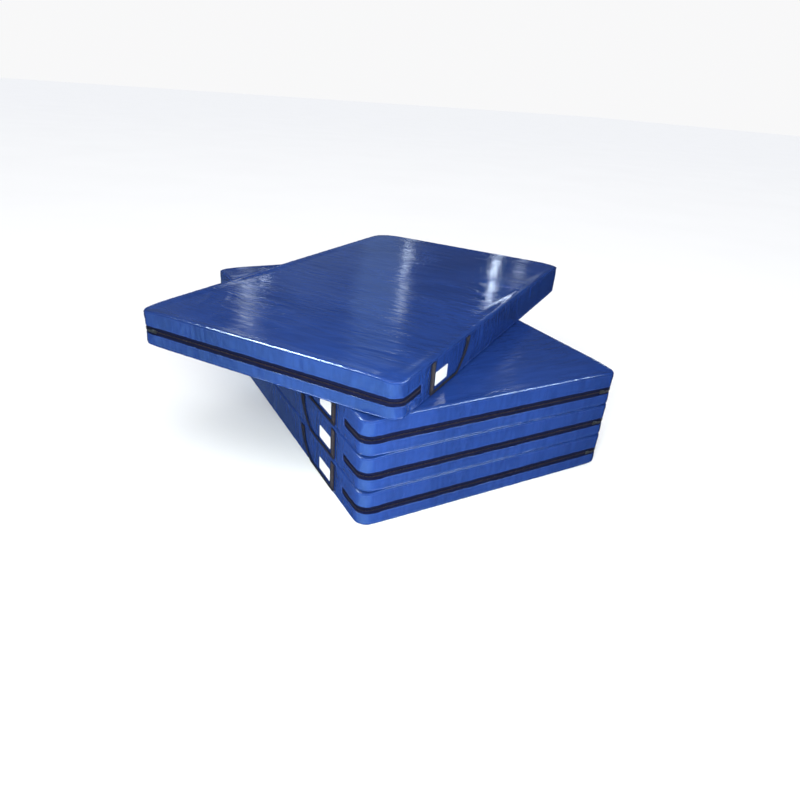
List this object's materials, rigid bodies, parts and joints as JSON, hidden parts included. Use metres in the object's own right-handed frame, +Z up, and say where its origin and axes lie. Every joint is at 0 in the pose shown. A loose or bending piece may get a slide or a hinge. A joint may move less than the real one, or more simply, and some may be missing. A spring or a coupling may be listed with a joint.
{
  "type": "gym mat stack",
  "caption": "Stack of thick rectangular foam gym mats in glossy blue vinyl covers with end zips, webbing carry loops and side labels, the top mat turned on the pile.",
  "frame": {"origin": "centre of the stack's footprint, on the floor under the bottom mat", "axes": "+Z up; +Y runs along the squared-up mats, away from their zipped ends, and +X across them. The whole stack is longest along X because its top mat is turned."},
  "size_m": [2.2922, 2.0705, 0.6009],
  "materials": {
    "vinyl": "gloss",
    "foam": "matte",
    "zip_tape": "matte",
    "zip_coil": "satin",
    "slider_metal": "satin",
    "webbing": "matte",
    "label": "satin"
  },
  "bodies": {
    "mat_1": {"mat_1_base_panel": "vinyl", "mat_1_foam_core": "foam", "mat_1_label_left": "label", "mat_1_label_right": "label", "mat_1_sewn_strip_left": "webbing", "mat_1_sewn_strip_right": "webbing", "mat_1_side_band": "vinyl", "mat_1_top_panel": "vinyl", "mat_1_zip_chain": "zip_coil", "mat_1_zip_tape_lower": "zip_tape", "mat_1_zip_tape_upper": "zip_tape"},
    "mat_1_carry_loop_left": {"mat_1_carry_loop_left": "webbing"},
    "mat_1_carry_loop_right": {"mat_1_carry_loop_right": "webbing"},
    "mat_1_zip_slider": {"mat_1_zip_slider": "slider_metal"},
    "mat_1_zip_pull": {"mat_1_zip_pull": "slider_metal"},
    "mat_2": {"mat_2_base_panel": "vinyl", "mat_2_foam_core": "foam", "mat_2_label_left": "label", "mat_2_label_right": "label", "mat_2_sewn_strip_left": "webbing", "mat_2_sewn_strip_right": "webbing", "mat_2_side_band": "vinyl", "mat_2_top_panel": "vinyl", "mat_2_zip_chain": "zip_coil", "mat_2_zip_tape_lower": "zip_tape", "mat_2_zip_tape_upper": "zip_tape"},
    "mat_2_carry_loop_left": {"mat_2_carry_loop_left": "webbing"},
    "mat_2_carry_loop_right": {"mat_2_carry_loop_right": "webbing"},
    "mat_2_zip_slider": {"mat_2_zip_slider": "slider_metal"},
    "mat_2_zip_pull": {"mat_2_zip_pull": "slider_metal"},
    "mat_3": {"mat_3_base_panel": "vinyl", "mat_3_foam_core": "foam", "mat_3_label_left": "label", "mat_3_label_right": "label", "mat_3_sewn_strip_left": "webbing", "mat_3_sewn_strip_right": "webbing", "mat_3_side_band": "vinyl", "mat_3_top_panel": "vinyl", "mat_3_zip_chain": "zip_coil", "mat_3_zip_tape_lower": "zip_tape", "mat_3_zip_tape_upper": "zip_tape"},
    "mat_3_carry_loop_left": {"mat_3_carry_loop_left": "webbing"},
    "mat_3_carry_loop_right": {"mat_3_carry_loop_right": "webbing"},
    "mat_3_zip_slider": {"mat_3_zip_slider": "slider_metal"},
    "mat_3_zip_pull": {"mat_3_zip_pull": "slider_metal"},
    "mat_4": {"mat_4_base_panel": "vinyl", "mat_4_foam_core": "foam", "mat_4_label_left": "label", "mat_4_label_right": "label", "mat_4_sewn_strip_left": "webbing", "mat_4_sewn_strip_right": "webbing", "mat_4_side_band": "vinyl", "mat_4_top_panel": "vinyl", "mat_4_zip_chain": "zip_coil", "mat_4_zip_tape_lower": "zip_tape", "mat_4_zip_tape_upper": "zip_tape"},
    "mat_4_carry_loop_left": {"mat_4_carry_loop_left": "webbing"},
    "mat_4_carry_loop_right": {"mat_4_carry_loop_right": "webbing"},
    "mat_4_zip_slider": {"mat_4_zip_slider": "slider_metal"},
    "mat_4_zip_pull": {"mat_4_zip_pull": "slider_metal"}
  },
  "joints": [
    {"name": "mat_1_zip_slide", "type": "slide", "parent": "mat_1", "child": "mat_1_zip_slider", "axis": [-1, 0, 0], "range_m": [0, 1.04]},
    {"name": "mat_1_pull_flip", "type": "hinge", "parent": "mat_1_zip_slider", "child": "mat_1_zip_pull", "pos_m": [0.52, -1.0051, 0.068], "axis": [0, 0, -1], "range_deg": [0, 180]},
    {"name": "mat_1_left_loop_swing", "type": "hinge", "parent": "mat_1", "child": "mat_1_carry_loop_left", "pos_m": [-0.6025, -0.6, 0.136], "axis": [0, 1, 0], "range_deg": [0, 90]},
    {"name": "mat_1_right_loop_swing", "type": "hinge", "parent": "mat_1", "child": "mat_1_carry_loop_right", "pos_m": [0.6025, -0.6, 0.136], "axis": [0, -1, 0], "range_deg": [0, 90]},
    {"name": "mat_2_lift", "type": "slide", "parent": "mat_1", "child": "mat_2", "axis": [0, 0, 1], "range_m": [0, 0.3]},
    {"name": "mat_2_zip_slide", "type": "slide", "parent": "mat_2", "child": "mat_2_zip_slider", "axis": [-1, 0, 0], "range_m": [0, 1.04]},
    {"name": "mat_2_pull_flip", "type": "hinge", "parent": "mat_2_zip_slider", "child": "mat_2_zip_pull", "pos_m": [0.52, -1.0051, 0.2183], "axis": [0, 0, -1], "range_deg": [0, 180]},
    {"name": "mat_2_left_loop_swing", "type": "hinge", "parent": "mat_2", "child": "mat_2_carry_loop_left", "pos_m": [-0.6025, -0.6, 0.2863], "axis": [0, 1, 0], "range_deg": [0, 90]},
    {"name": "mat_2_right_loop_swing", "type": "hinge", "parent": "mat_2", "child": "mat_2_carry_loop_right", "pos_m": [0.6025, -0.6, 0.2863], "axis": [0, -1, 0], "range_deg": [0, 90]},
    {"name": "mat_3_lift", "type": "slide", "parent": "mat_2", "child": "mat_3", "axis": [0, 0, 1], "range_m": [0, 0.3]},
    {"name": "mat_3_zip_slide", "type": "slide", "parent": "mat_3", "child": "mat_3_zip_slider", "axis": [-1, 0, 0], "range_m": [0, 1.04]},
    {"name": "mat_3_pull_flip", "type": "hinge", "parent": "mat_3_zip_slider", "child": "mat_3_zip_pull", "pos_m": [0.52, -1.0051, 0.3686], "axis": [0, 0, -1], "range_deg": [0, 180]},
    {"name": "mat_3_left_loop_swing", "type": "hinge", "parent": "mat_3", "child": "mat_3_carry_loop_left", "pos_m": [-0.6025, -0.6, 0.4366], "axis": [0, 1, 0], "range_deg": [0, 90]},
    {"name": "mat_3_right_loop_swing", "type": "hinge", "parent": "mat_3", "child": "mat_3_carry_loop_right", "pos_m": [0.6025, -0.6, 0.4366], "axis": [0, -1, 0], "range_deg": [0, 90]},
    {"name": "mat_4_turn", "type": "hinge", "parent": "mat_3", "child": "mat_4", "pos_m": [0, 0, 0.4509], "axis": [0, 0, 1], "continuous": true},
    {"name": "mat_4_zip_slide", "type": "slide", "parent": "mat_4", "child": "mat_4_zip_slider", "axis": [0.5548, -0.832, 0], "range_m": [0, 1.04]},
    {"name": "mat_4_pull_flip", "type": "hinge", "parent": "mat_4_zip_slider", "child": "mat_4_zip_pull", "pos_m": [-1.12472, -0.12506, 0.5189], "axis": [0, 0, 1], "range_deg": [0, 180]},
    {"name": "mat_4_left_loop_swing", "type": "hinge", "parent": "mat_4", "child": "mat_4_carry_loop_left", "pos_m": [-0.83347, 0.16835, 0.5869], "axis": [0.832, 0.5548, 0], "range_deg": [0, 90]},
    {"name": "mat_4_right_loop_swing", "type": "hinge", "parent": "mat_4", "child": "mat_4_carry_loop_right", "pos_m": [-0.16488, -0.83416, 0.5869], "axis": [-0.832, -0.5548, 0], "range_deg": [0, 90]}
  ]
}
